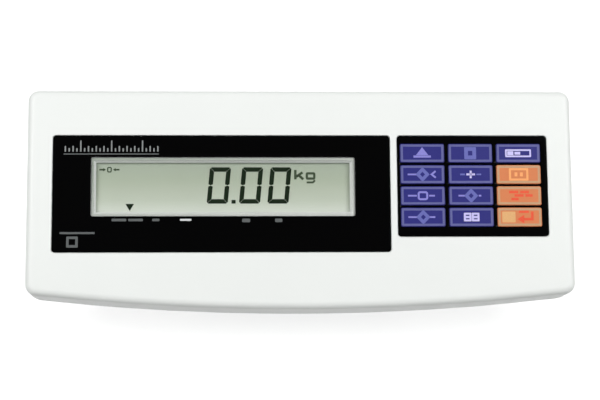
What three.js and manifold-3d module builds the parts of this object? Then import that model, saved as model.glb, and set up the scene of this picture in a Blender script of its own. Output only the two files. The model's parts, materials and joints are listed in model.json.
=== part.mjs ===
// Display and keypad head of a counting scale, on the tilt bracket that carries it.
// Millimetres, +Z up. The face looks towards -Y and leans back; the base pad stands on Z = 0.

import * as THREE from 'three';
import { mergeVertices } from 'three/addons/utils/BufferGeometryUtils.js';
import Module from 'manifold-3d';

const wasm = await Module();
wasm.setup();

// ---------------------------------------------------------------- driving dimensions

const GAP = 0.3;                      // clearance between pieces that rest on each other

// The head is built in its own frame: X across, Y up the face, Z out of the face, face at Z = 0.
const FACE_LEAN = 45;                 // degrees that the face leans back from lying flat
const FACE_CENTRE = { y: -31.5, z: 86 };

const HEAD = {
  halfWidth: 150, top: 61.6, bottom: -59.7,
  bowRadius: 1310,                    // the lower edge is a shallow bow
  topCorner: 6, bottomCorner: 6,
  frontEdge: 4,                       // round along the face's edge
  split: -24,                         // where the front cover ends and the rear cover starts
  back: -40,
  wall: 2.5, faceWall: 3,
};

const RECESS = 1.3;                   // pocket in the face that a panel lies in
const PANEL = 1.0;                    // thickness of the panels
const DISPLAY = { left: -135.7, right: 48.7, bottom: -28.6, top: 35.8, corner: 1.6 };
const WINDOW = { left: -115, right: 29.4, bottom: -8.9, top: 23.9, corner: 0.8 };
const WINDOW_LEDGE = 1.5;             // the lens rests on this much of the cover all round
const KEYPAD = { left: 52.9, right: 135.7, bottom: -20.2, top: 35.8, corner: 1.6 };
const KEYPAD_HOLE = { left: 53.5, right: 134.2, bottom: -18.7, top: 34.3, corner: 1 };
const LCD = { left: -117.5, right: 31.9, bottom: -13, top: 28, corner: 0.5 };
const LCD_LAYERS = {
  gasket: [-3.75, -3.3], glass: [-6.8, -4.05], light: [-10.7, -7.1], frame: [-10.7, -4.4],
};
const LCD_FRAME_WIDTH = 3;

const KEYS = {
  columns: 3, rows: 4, pitchX: 26.6, pitchY: 11.87,
  centreX: 93.2, centreY: 8.15, width: 24.4, height: 10.5,
  proud: 0.8, clearance: 0.25, flange: 0.5, flangeTop: -1.35, flangeBase: -2.3,
  stem: 2, stemBase: -5.6, corner: 0.7,
};
const KEY_MAT = { margin: 0.6, hole: 2.5, layer: [-5, -3.5] };
const SWITCH_FILM = { margin: 3, layer: [-8, -7.4], half: 3, top: -6.75 };

const HUMP = { left: -56, right: 56, bottom: -30, top: 40, corner: 5, back: -66, inner: -61.5 };
const BATTERY = { halfLength: 48.5, bottom: -24, top: 27, front: -37, back: -61, corner: 1.5 };
const TABS = { x: [-40, -20], halfWidth: 2.4, length: 4, layer: [-50.4, -49.6] };
const BATTERY_PAD = { left: -44, right: 44, bottom: -18, top: 24, corner: 2 };
const DOOR = {
  halfWidth: 49.9, taper: 1.4, bottom: -27, top: 38.5, slotTop: 60, floor: -63.8, skin: -65.9,
  grips: 4, gripHalf: 12, gripStart: 26, gripPitch: 3, gripWidth: 1.2, gripDepth: 0.6,
};
const BATTERY_MOUTH = { left: -49.2, right: 49.2, bottom: -24.8, top: 32, corner: 1 };

const PIVOT = { y: 2, z: -54 };       // tilt axis, in the head's frame
const STUD = { radius: 2.5, start: 50, end: 71.7 };
const INSERT = { radius: 4, start: 49.8, end: 55.8, bossRadius: 7, bossStart: 49.5, bossEnd: 54.5 };
const DISC = { radius: 11, bore: 4.5, start: 56.3, end: 56.9 };
const WASHER = { radius: 8, start: 60, end: 61.5 };
const SHEET = 2.5;                    // steel sheet of the bracket
const EAR = { inner: 57.2, radius: 12 };
const KNOB = { radius: 12, lobes: 7, lobeDepth: 0.9, hub: 7.5, hubLength: 3, start: 61.8, end: 77, bore: 72 };
const PAD = 2;
const BASE = { front: -18.5, back: 72, corner: 6, bend: 4, side: 8 };
const EAR_FOOT = [-12, 40];           // where the ears' straight edges start on the base's sides
const PAD_AREA = { left: -56, right: 56, bottom: -17.5, top: 70, corner: 5 };
const FIXING = { x: 38, front: -6, back: 60, radius: 2.75, padRadius: 3.2 };

const SIDES = [-1, 1];                // left and right
const SCREW_SPOTS = [[-141, 50], [141, 50], [-141, -42], [141, -42], [0, 52], [0, -49]];
const SCREW = { radius: 1.45, tip: -12, head: 3.1, headTop: -34.3, headBase: -36.4 };
const BOSS = { front: 4, frontBore: 1.8, rear: 4.6, rearBore: 1.9, headBore: 3.6, headSeat: -34 };

const BOARD = 1.6;                    // thickness of the circuit boards
const BOARD_HOLE = 1.6;
const MAIN_BOARD = { left: -68, right: 68, bottom: -38, top: 46, corner: 2, front: -31 };
const STANDOFFS = { radius: 3, spots: [[-63, -33], [63, -33], [-63, 41], [63, 41]] };
const DISPLAY_BOARD = { left: -132, right: 45, bottom: -26, top: 32, corner: 2, front: -11 };
const DISPLAY_POSTS = [[-128, -22], [-128, 28], [41, -22], [41, 28]];
const KEYPAD_BOARD = { left: 53.5, right: 135.5, bottom: -29.5, top: 43.5, corner: 2, front: -8.3 };
const KEYPAD_POSTS = [[57, 40], [131, 40], [57, -26], [131, -26]];
const POST = { radius: 2.2, end: -8 };

// Parts set in the rear wall; layers are heights in the head's frame.
const SWITCH = {
  x: 105, y: 22, halfX: 6.2, halfY: 8.8, bezelX: 8, bezelY: 11, wellX: 5.1, wellY: 8.2,
  layer: [-41, -27], well: [-43, -33.5], rim: -42, axis: -40.6, throw: 8,
};
const ROCKER = { halfWidth: 4.8, section: [[-7.4, -1.2], [-2.2, -4.6], [2.2, -4.6], [7.4, -1.2], [7.4, 3.6],
  [0, 2.2], [-7.4, 3.6]] };
const INLET = {
  x: 105, y: -12, half: 6, flange: 8, barrel: 5.4, bore: 2.95, pin: 1.1,
  layer: [-41, -28], rim: -41.4, lip: -43, floor: -33,
};
const SERIAL = {
  x: -100, y: 14.5, flangeX: 15.8, flangeY: 6.3, half: [8.8, 5.1], nut: 2.5, nutX: 12.5,
  shell: [[-7.56, 10.2], [7.56, 10.2], [8.57, 18.8], [-8.57, 18.8]],
  layer: [-41, -30], rim: -41.3, mouth: -47, nutEnd: -46,
};
const CELL = {
  x: -100, y: -18, flange: 10, barrel: 8, body: 7.5, bore: 6.2,
  layer: [-42, -30], rim: -42, mouth: -51, floor: -50,
};

// ---------------------------------------------------------------- shape helpers

function solid(geometry) {
  const plain = geometry.clone();
  plain.deleteAttribute('normal');
  plain.deleteAttribute('uv');
  const merged = mergeVertices(plain, 1e-4);
  return new wasm.Manifold(new wasm.Mesh({
    numProp: 3,
    vertProperties: Float32Array.from(merged.attributes.position.array),
    triVerts: Uint32Array.from(merged.index.array),
  }));
}

function geometryOf(manifold) {
  const mesh = manifold.getMesh();
  const geometry = new THREE.BufferGeometry();
  geometry.setAttribute('position', new THREE.BufferAttribute(mesh.vertProperties, 3));
  geometry.setIndex(new THREE.BufferAttribute(mesh.triVerts, 1));
  const facets = geometry.toNonIndexed();
  facets.computeVertexNormals();
  return facets;
}

const join = (first, ...rest) => rest.reduce((sum, next) => sum.add(next), first);
const cut = (first, ...tools) => tools.reduce((left, tool) => left.subtract(tool), first);

function block(x, y, z) {
  const geometry = new THREE.BoxGeometry(x[1] - x[0], y[1] - y[0], z[1] - z[0]);
  geometry.translate((x[0] + x[1]) / 2, (y[0] + y[1]) / 2, (z[0] + z[1]) / 2);
  return solid(geometry);
}

// A round bar along Z.
function rod(radius, z, x = 0, y = 0, sides = 16) {
  const geometry = new THREE.CylinderGeometry(radius, radius, z[1] - z[0], sides);
  geometry.rotateX(Math.PI / 2);
  geometry.translate(x, y, (z[0] + z[1]) / 2);
  return solid(geometry);
}

const ring = (outer, inner, z, x = 0, y = 0, sides = 20) =>
  cut(rod(outer, z, x, y, sides), rod(inner, [z[0] - 1, z[1] + 1], x, y, sides));

// Turns a shape by quarter turns about the X and Y axes.
function turn(manifold, aboutX, aboutY) {
  const geometry = geometryOf(manifold);
  geometry.rotateX(aboutX * Math.PI / 2);
  geometry.rotateY(aboutY * Math.PI / 2);
  return solid(geometry);
}

// A prism's outline (y, z) and height x become (x, y, z).
function standing(manifold) {
  const geometry = geometryOf(manifold);
  geometry.applyMatrix4(new THREE.Matrix4().set(0, 0, 1, 0, 1, 0, 0, 0, 0, 1, 0, 0, 0, 0, 0, 1));
  return solid(geometry);
}

function move(manifold, x, y, z) {
  const geometry = geometryOf(manifold);
  geometry.translate(x, y, z);
  return solid(geometry);
}

function prism(points, z) {
  const shape = new THREE.Shape(points);
  const geometry = new THREE.ExtrudeGeometry(shape, { depth: z[1] - z[0], bevelEnabled: false });
  geometry.translate(0, 0, z[0]);
  return solid(geometry);
}

// Points on an arc, in degrees, ends included.
function arc(x, y, radius, from, to, steps) {
  const points = [];
  for (let step = 0; step <= steps; step += 1) {
    const angle = THREE.MathUtils.degToRad(from + (to - from) * step / steps);
    points.push(new THREE.Vector2(x + radius * Math.cos(angle), y + radius * Math.sin(angle)));
  }
  return points;
}

// A rectangle with round corners, moved inwards by an inset.
function rectangle({ left, right, bottom, top, corner }, inset = 0, steps = 3) {
  const radius = Math.max(corner - inset, 0.1);
  const x = [left + inset + radius, right - inset - radius];
  const y = [bottom + inset + radius, top - inset - radius];
  return [
    ...arc(x[1], y[1], radius, 0, 90, steps),
    ...arc(x[0], y[1], radius, 90, 180, steps),
    ...arc(x[0], y[0], radius, 180, 270, steps),
    ...arc(x[1], y[0], radius, 270, 360, steps),
  ];
}

// The head's outline: straight top and sides, bowed lower edge, moved inwards by an inset.
function headOutline(inset = 0) {
  const { halfWidth, top, bottom, bowRadius, topCorner, bottomCorner } = HEAD;
  const topX = halfWidth - topCorner;
  const topY = top - topCorner;
  const lowX = halfWidth - bottomCorner;
  const bowY = bottom + bowRadius;
  const lowY = bowY - Math.sqrt((bowRadius - bottomCorner) ** 2 - lowX ** 2);
  const bow = THREE.MathUtils.radToDeg(Math.atan2(lowX, bowY - lowY));
  const upper = topCorner - inset;
  const lower = bottomCorner - inset;
  return [
    ...arc(topX, topY, upper, 0, 90, 6),
    ...arc(-topX, topY, upper, 90, 180, 6),
    ...arc(-lowX, lowY, lower, 180, 270 - bow, 6),
    ...arc(0, bowY, bowRadius - inset, 270 - bow, 270 + bow, 20).slice(1, -1),
    ...arc(lowX, lowY, lower, 270 + bow, 360, 6),
  ];
}

// A solid through one outline at several heights; each level is [z, inset], lowest first.
function loft(outline, levels) {
  const rings = levels.map(([, inset]) => outline(inset));
  const count = rings[0].length;
  const positions = rings.flatMap((points, level) =>
    points.flatMap((point) => [point.x, point.y, levels[level][0]]));
  const faces = [];
  for (let level = 0; level < levels.length - 1; level += 1) {
    for (let i = 0; i < count; i += 1) {
      const next = (i + 1) % count;
      const low = level * count;
      const high = low + count;
      faces.push(low + i, low + next, high + next, low + i, high + next, high + i);
    }
  }
  const last = (levels.length - 1) * count;
  for (const [a, b, c] of THREE.ShapeUtils.triangulateShape(rings[0], [])) {
    faces.push(c, b, a);
  }
  for (const [a, b, c] of THREE.ShapeUtils.triangulateShape(rings[levels.length - 1], [])) {
    faces.push(last + a, last + b, last + c);
  }
  const geometry = new THREE.BufferGeometry();
  geometry.setAttribute('position', new THREE.Float32BufferAttribute(positions, 3));
  geometry.setIndex(faces);
  return solid(geometry);
}

// Heights and insets of a quarter round of a radius that ends at z, lowest first.
function roundOver(z, radius, steps = 4) {
  const levels = [];
  for (let step = 1; step <= steps; step += 1) {
    const angle = Math.PI / 2 * step / steps;
    levels.push([z - radius + radius * Math.sin(angle), radius - radius * Math.cos(angle)]);
  }
  return levels;
}

const shrink = ({ left, right, bottom, top, corner }, by) => ({
  left: left + by, right: right - by, bottom: bottom + by, top: top - by, corner: Math.max(corner - by, 0.2),
});

const plate = (area, z) => prism(rectangle(area), z);

// A circuit board with its screw holes; front is its height in the head's frame.
const board = (area, holes) => cut(
  plate(area, [area.front - BOARD, area.front]),
  ...holes.map(([x, y]) => rod(BOARD_HOLE, [area.front - BOARD - 1, area.front + 1], x, y, 10)),
);

const around = (x, y, halfX, halfY, corner) => ({
  left: x - halfX, right: x + halfX, bottom: y - halfY, top: y + halfY, corner,
});

function tube(points, radius) {
  const path = new THREE.CatmullRomCurve3(points.map((point) => new THREE.Vector3(...point)));
  const section = new THREE.Shape(arc(0, 0, radius, 0, 315, 7));
  return solid(new THREE.ExtrudeGeometry(section, { steps: 16, extrudePath: path, bevelEnabled: false }));
}

// A flat strip: a path in Y and Z, as wide as x says.
function strip(x, path, thickness) {
  const curve = new THREE.SplineCurve(path.map(([y, z]) => new THREE.Vector2(y, z)));
  const middle = curve.getPoints(12);
  const sides = [1, -1].map((side) => middle.map((point, i) => {
    const along = curve.getTangent(i / 12);
    const offset = side * thickness / 2;
    return new THREE.Vector2(point.x - offset * along.y, point.y + offset * along.x);
  }));
  return standing(prism([...sides[1], ...sides[0].reverse()], x));
}

// ---------------------------------------------------------------- covers

function frontCover() {
  const skin = loft(headOutline, [[HEAD.split, 0], [-HEAD.frontEdge, 0], ...roundOver(0, HEAD.frontEdge)]);
  const hollow = loft(headOutline, [[HEAD.split - 1, HEAD.wall], [-HEAD.faceWall, HEAD.wall]]);
  const root = -HEAD.faceWall + 0.5;
  const bosses = SCREW_SPOTS.map(([x, y]) => ring(BOSS.front, BOSS.frontBore, [HEAD.split, root], x, y, 12));
  const posts = [...DISPLAY_POSTS, ...KEYPAD_POSTS]
    .map(([x, y]) => rod(POST.radius, [POST.end, root], x, y, 8));
  const shell = cut(
    skin, hollow,
    plate(shrink(DISPLAY, -GAP), [-RECESS, 1]),
    plate(shrink(KEYPAD, -GAP), [-RECESS, 1]),
    plate(shrink(WINDOW, WINDOW_LEDGE), [-HEAD.faceWall - 1, 0]),
    plate(KEYPAD_HOLE, [-HEAD.faceWall - 1, 0]),
  );
  return join(shell, ...bosses, ...posts);
}

function rearCover() {
  const top = HEAD.split - GAP;
  const skin = loft(headOutline, [[HEAD.back, 4.5], [HEAD.back + 1, 2.4], [HEAD.back + 4, 0.6], [top, 0]]);
  const hump = loft((inset) => rectangle(HUMP, inset, 5),
    [[HUMP.back, 2], [HUMP.back + 0.6, 0.6], [HUMP.back + 2, 0], [HEAD.back + 1, 0]]);
  const hollow = loft(headOutline, [[HEAD.back + HEAD.wall, HEAD.wall], [top + 1, HEAD.wall]]);
  const humpHollow = plate(shrink(HUMP, HEAD.wall), [HUMP.inner, HEAD.back + HEAD.wall + 1]);
  const floor = HEAD.back + 2;
  const screwBosses = SCREW_SPOTS.map(([x, y]) => rod(BOSS.rear, [floor, top - GAP], x, y, 12));
  const screwHoles = SCREW_SPOTS.map(([x, y]) => join(
    rod(BOSS.rearBore, [HEAD.back - 1, top + 1], x, y, 12),
    rod(BOSS.headBore, [HEAD.back - 1, BOSS.headSeat], x, y, 12),
  ));
  const standoffs = STANDOFFS.spots.map(([x, y]) =>
    rod(STANDOFFS.radius, [floor, MAIN_BOARD.front - BOARD - GAP], x, y, 10));
  const pivotBosses = SIDES.map((side) =>
    pivotBar(INSERT.bossRadius, side, INSERT.bossStart, INSERT.bossEnd));
  const pivotHoles = SIDES.map((side) => pivotBar(INSERT.radius + GAP, side, INSERT.bossStart - 1.5, 58));
  const shell = join(cut(join(skin, hump), hollow, humpHollow), ...screwBosses, ...standoffs, ...pivotBosses);
  const wall = [HEAD.back - 1, HEAD.back + 4];
  return cut(
    shell, ...screwHoles, ...pivotHoles,
    doorPrism(GAP, DOOR.slotTop, DOOR.floor),
    plate(BATTERY_MOUTH, [DOOR.floor - 1, HUMP.inner + 1]),
    plate(around(SWITCH.x, SWITCH.y, SWITCH.halfX + 0.4, SWITCH.halfY + 0.1, 0.5), wall),
    plate(around(INLET.x, INLET.y, INLET.half + 0.4, INLET.half + 0.4, 0.5), wall),
    plate(around(SERIAL.x, SERIAL.y, SERIAL.half[0] + 0.6, SERIAL.half[1] + 0.6, 1), wall),
    rod(CELL.body + 0.4, wall, CELL.x, CELL.y, 20),
  );
}

// A bar on the tilt axis, on one side, in the head's frame.
function pivotBar(radius, side, from, to, sides = 20) {
  const bar = rod(radius, side > 0 ? [from, to] : [-to, -from], 0, 0, sides);
  return move(turn(bar, 0, 1), 0, PIVOT.y, PIVOT.z);
}

// Dovetail section of the battery door, wider inside than outside; grown for the slot that it runs in.
function doorPrism(grow, top, floor) {
  const wide = DOOR.halfWidth + grow;
  const narrow = wide - DOOR.taper;
  const outer = grow > 0 ? HUMP.back - 1 : DOOR.skin;
  const slope = DOOR.taper / (floor - HUMP.back);
  const outerHalf = grow > 0 ? narrow - slope : narrow;
  const section = [[-wide, floor], [-outerHalf, outer], [outerHalf, outer], [wide, floor]]
    .map(([x, z]) => new THREE.Vector2(x, -z));
  return turn(prism(section, [DOOR.bottom - grow, top]), -1, 0);
}

function batteryDoor() {
  const door = doorPrism(0, DOOR.top, DOOR.floor - GAP);
  const grips = [];
  for (let row = 0; row < DOOR.grips; row += 1) {
    const y = DOOR.gripStart + row * DOOR.gripPitch;
    grips.push(block(
      [-DOOR.gripHalf, DOOR.gripHalf], [y, y + DOOR.gripWidth], [DOOR.skin - 1, DOOR.skin + DOOR.gripDepth]));
  }
  return cut(door, ...grips);
}

// ---------------------------------------------------------------- display

const displayPanel = () => cut(plate(DISPLAY, [-PANEL, 0]), plate(WINDOW, [-2, 1]));
const displayLens = () => plate(shrink(WINDOW, GAP), [-PANEL, -0.2]);

const lcdGasket = () => cut(plate(LCD, LCD_LAYERS.gasket), plate(shrink(WINDOW, WINDOW_LEDGE), [-5, -2]));
const lcdGlass = () => plate(LCD, LCD_LAYERS.glass);
const lcdFrame = () => cut(
  plate(shrink(LCD, -LCD_FRAME_WIDTH), LCD_LAYERS.frame),
  plate(shrink(LCD, -GAP), [-11, -4]),
);
const lcdBacklight = () => plate(LCD, LCD_LAYERS.light);
const displayBoard = () => board(DISPLAY_BOARD, DISPLAY_POSTS);

// ---------------------------------------------------------------- keypad

function keyCentres() {
  const centres = [];
  for (let row = 0; row < KEYS.rows; row += 1) {
    for (let column = 0; column < KEYS.columns; column += 1) {
      centres.push({
        name: `key_${row + 1}_${column + 1}`,
        x: KEYS.centreX + (column - (KEYS.columns - 1) / 2) * KEYS.pitchX,
        y: KEYS.centreY - (row - (KEYS.rows - 1) / 2) * KEYS.pitchY,
        row,
        column,
      });
    }
  }
  return centres;
}

function key({ x, y }) {
  const half = [KEYS.width / 2, KEYS.height / 2];
  const cap = prism(rectangle(around(x, y, ...half, KEYS.corner)), [KEYS.flangeTop - 0.4, KEYS.proud]);
  const flange = block(
    [x - half[0] - KEYS.flange, x + half[0] + KEYS.flange],
    [y - half[1] - KEYS.flange, y + half[1] + KEYS.flange],
    [KEYS.flangeBase, KEYS.flangeTop],
  );
  const stem = block([x - KEYS.stem, x + KEYS.stem], [y - KEYS.stem, y + KEYS.stem],
    [KEYS.stemBase, KEYS.flangeBase + 0.4]);
  return join(cap, flange, stem);
}

function keypadPanel() {
  const grow = KEYS.clearance;
  const holes = keyCentres().map(({ x, y }) =>
    plate(around(x, y, KEYS.width / 2 + grow, KEYS.height / 2 + grow, KEYS.corner + grow), [-2, 1]));
  return cut(plate(KEYPAD, [-PANEL, 0]), ...holes);
}

function keyMat() {
  const { margin, hole, layer } = KEY_MAT;
  const holes = keyCentres().map(({ x, y }) => block([x - hole, x + hole], [y - hole, y + hole], [-6, -3]));
  return cut(plate(shrink(KEYPAD, margin), layer), ...holes);
}

const keypadBoard = () => board(KEYPAD_BOARD, KEYPAD_POSTS);

// One small sealed switch under each key, joined by the carrier film that they come on.
function keySwitches() {
  const { margin, layer, half, top } = SWITCH_FILM;
  const domes = keyCentres().map(({ x, y }) =>
    block([x - half, x + half], [y - half, y + half], [layer[1] - 0.1, top]));
  return join(plate(shrink(KEYPAD, margin), layer), ...domes);
}

// ---------------------------------------------------------------- electronics

const mainBoard = () => board(MAIN_BOARD, STANDOFFS.spots);
const onBoard = (x, y, height) => block(x, y, [MAIN_BOARD.front + GAP, MAIN_BOARD.front + GAP + height]);
const processor = () => onBoard([-8, 12], [2, 22], 1.6);
const analogShield = () => onBoard([-58, -24], [-30, 6], 7);
const buzzer = () => ring(7, 1.2, [MAIN_BOARD.front + GAP, -22.2], 45, 30, 20);

const displayRibbon = () => strip([-34, -14], [[12, -13], [8, -16], [16, -21], [26, -25], [24, -30.6]], 0.7);
const keypadRibbon = () => move(
  strip([0, 14], [[-18, -10.3], [-21, -14], [-14, -20], [-12, -26], [-14, -30.6]], 0.7), 53.5, 0, 0);

function battery() {
  const { halfLength, bottom, top, front, back, corner } = BATTERY;
  const casing = plate({ left: -halfLength, right: halfLength, bottom, top, corner }, [back, front]);
  const tabs = TABS.x.map((x) =>
    block([x - TABS.halfWidth, x + TABS.halfWidth], [top - 1, top + TABS.length], TABS.layer));
  return join(casing, ...tabs);
}

const batteryPad = () => plate(BATTERY_PAD, [DOOR.floor + 0.1, BATTERY.back - GAP]);

const batteryLead = (x) => tube(
  [[x, BATTERY.top + 4.4, -50], [x, 35, -49.6], [x, 35.9, -45], [x, 35, -39], [x, 34, -33]], 1);

// ---------------------------------------------------------------- rear connectors and switch

// The flange of a part set in the rear wall, lying on the outside of the wall.
const flange = ({ x, y, rim }, halfX, halfY, corner) =>
  plate(around(x, y, halfX, halfY, corner), [rim, HEAD.back - GAP]);

function powerSwitch() {
  const { x, y, halfX, halfY, wellX, wellY } = SWITCH;
  return cut(
    join(
      flange(SWITCH, SWITCH.bezelX, SWITCH.bezelY, 1),
      block([x - halfX, x + halfX], [y - halfY + GAP, y + halfY - GAP], SWITCH.layer),
    ),
    block([x - wellX, x + wellX], [y - wellY, y + wellY], SWITCH.well),
  );
}

// Section in (Y, outwards) about the rocker's own axis.
const powerRocker = () => standing(prism(
  ROCKER.section.map(([y, out]) => new THREE.Vector2(y, -out)), [-ROCKER.halfWidth, ROCKER.halfWidth]));

function powerInlet() {
  const { x, y, half, layer, lip, floor } = INLET;
  const body = join(
    block([x - half, x + half], [y - half, y + half], layer),
    rod(INLET.barrel, [lip, layer[0] + 0.7], x, y, 16),
    flange(INLET, INLET.flange, INLET.flange, 1.5),
  );
  const bored = cut(body, rod(INLET.bore, [lip - 1, floor], x, y, 12));
  return join(bored, rod(INLET.pin, [lip + 1, floor + 1], x, y, 8));
}

function serialPort() {
  const { x, y, half, layer, mouth } = SERIAL;
  return join(
    flange(SERIAL, SERIAL.flangeX, SERIAL.flangeY, 1.2),
    prism(SERIAL.shell.map(([across, up]) => new THREE.Vector2(x + across, up)), [mouth, layer[0]]),
    block([x - half[0], x + half[0]], [y - half[1], y + half[1]], layer),
    ...SIDES.map((side) => rod(SERIAL.nut, [SERIAL.nutEnd, layer[0]], x + side * SERIAL.nutX, y, 6)),
  );
}

function cellSocket() {
  const { x, y, layer, mouth, floor } = CELL;
  return cut(
    join(
      flange(CELL, CELL.flange, CELL.flange, 2),
      rod(CELL.barrel, [mouth, layer[0] + 0.5], x, y, 24),
      rod(CELL.body, layer, x, y, 20),
    ),
    rod(CELL.bore, [mouth - 1, floor], x, y, 20),
  );
}

// ---------------------------------------------------------------- fasteners

const caseScrew = ([x, y]) => join(
  rod(SCREW.head, [SCREW.headBase, SCREW.headTop], x, y, 12),
  rod(SCREW.radius, [SCREW.headTop - 0.2, SCREW.tip], x, y, 10),
);

const insert = (side) => cut(
  pivotBar(INSERT.radius, side, INSERT.start, INSERT.end),
  pivotBar(STUD.radius + GAP, side, INSERT.start - 1, INSERT.end + 1),
);
const frictionDisc = (side) => cut(
  pivotBar(DISC.radius, side, DISC.start, DISC.end, 28),
  pivotBar(DISC.bore, side, DISC.start - 1, DISC.end + 1),
);

// ---------------------------------------------------------------- bracket, in the model's frame

// Where a line from a point touches a circle; side picks which of the two.
function touch([px, py], [cx, cy], radius, side) {
  const distance = Math.hypot(px - cx, py - cy);
  const angle = Math.atan2(py - cy, px - cx) + side * Math.acos(radius / distance);
  return THREE.MathUtils.radToDeg(angle);
}

function tiltBracket(pivotY, pivotZ) {
  const low = PAD + GAP;
  const outer = EAR.inner + SHEET;
  const tall = 80;                    // above the ears, cut to their shape below
  const wide = 100;
  const { bend, side: sideTop } = BASE;
  const section = [
    ...arc(outer - bend, low + bend, bend, 270, 360, 5),
    new THREE.Vector2(outer, tall), new THREE.Vector2(EAR.inner, tall),
    ...arc(outer - bend, low + bend, bend - SHEET, 360, 270, 5),
    ...arc(bend - outer, low + bend, bend - SHEET, 270, 180, 5),
    new THREE.Vector2(-EAR.inner, tall), new THREE.Vector2(-outer, tall),
    ...arc(bend - outer, low + bend, bend, 180, 270, 5),
  ];
  const channel = turn(prism(section, [-BASE.back, -BASE.front]), 1, 0);
  const feet = EAR_FOOT.map((y) => [y, low + sideTop]);
  const angles = [1, 0].map((foot) => touch(feet[foot], [pivotY, pivotZ], EAR.radius, foot ? 1 : -1));
  const rim = arc(pivotY, pivotZ, EAR.radius, angles[0], angles[1] + 360, 20);
  const ears = standing(prism([...feet.map(([y, z]) => new THREE.Vector2(y, z)), ...rim], [-wide, wide]));
  const tray = block([-wide, wide], [BASE.front - 1, BASE.back + 1], [0, low + sideTop + 0.1]);
  const corners = plate(
    { left: -outer, right: outer, bottom: BASE.front, top: BASE.back, corner: BASE.corner }, [-5, tall + 10]);
  return cut(
    channel.intersect(join(ears, tray)).intersect(corners),
    ...fixingSpots().map(([x, y]) => rod(FIXING.radius, [-5, low + 5], x, y, 16)),
    move(turn(rod(STUD.radius + GAP, [-wide, wide]), 0, 1), 0, pivotY, pivotZ),
  );
}

const fixingSpots = () =>
  SIDES.flatMap((side) => [FIXING.front, FIXING.back].map((y) => [side * FIXING.x, y]));

const basePad = () => cut(
  plate(PAD_AREA, [0, PAD]),
  ...fixingSpots().map(([x, y]) => rod(FIXING.padRadius, [-1, PAD + 1], x, y, 16)),
);

// The clamp parts are made along +Z, outwards from the middle of the head.
const washer = () => ring(WASHER.radius, STUD.radius + GAP, [WASHER.start, WASHER.end], 0, 0, 28);
const knobStud = () => rod(STUD.radius, [STUD.start, STUD.end]);

function knob() {
  const { radius, lobes, lobeDepth, hub, hubLength, start, end, bore } = KNOB;
  const count = lobes * 8;
  const outline = [];
  for (let i = 0; i < count; i += 1) {
    const angle = 2 * Math.PI * i / count;
    const reach = radius - lobeDepth + lobeDepth * Math.cos(lobes * angle);
    outline.push(new THREE.Vector2(reach * Math.cos(angle), reach * Math.sin(angle)));
  }
  return cut(
    join(prism(outline, [start + hubLength, end]), rod(hub, [start, start + hubLength + 0.5], 0, 0, 24)),
    rod(STUD.radius + GAP, [start - 1, bore]),
  );
}

// ---------------------------------------------------------------- assembly

const ABS_WHITE = [0xf1f2ef, 0.5, 0];
const BLACK_GLOSS = [0x050506, 0.2, 0];
const CLEAR = [0xdfe8e0, 0.05, 0];
const LCD_GREEN = [0xb1bfa8, 0.25, 0];
const DIFFUSER = [0xe9efe6, 0.5, 0];
const KEY_BLUE = [0x2c2d7a, 0.4, 0];
const KEY_ORANGE = [0xf0905a, 0.4, 0];
const GREY_SILICONE = [0x6f7276, 0.8, 0];
const BOARD_GREEN = [0x1f6b3a, 0.5, 0];
const CABLE_GREY = [0x9aa3ad, 0.6, 0];
const BATTERY_GREY = [0x3a3d42, 0.5, 0];
const LEAD_RED = [0xb02020, 0.5, 0];
const STEEL = [0xc9ccd0, 0.35, 0.9];
const BRASS = [0xc8a050, 0.35, 0.9];
const GREY_PAINT = [0x9da1a4, 0.55, 0.1];
const BLACK_PLASTIC = [0x17181a, 0.5, 0];
const BLACK_RUBBER = [0x101010, 0.85, 0];

function piece(parent, name, manifold, [color, roughness, metalness]) {
  const material = new THREE.MeshStandardMaterial({ color, roughness, metalness });
  const mesh = new THREE.Mesh(geometryOf(manifold), material);
  mesh.name = name;
  parent.add(mesh);
  return mesh;
}

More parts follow.
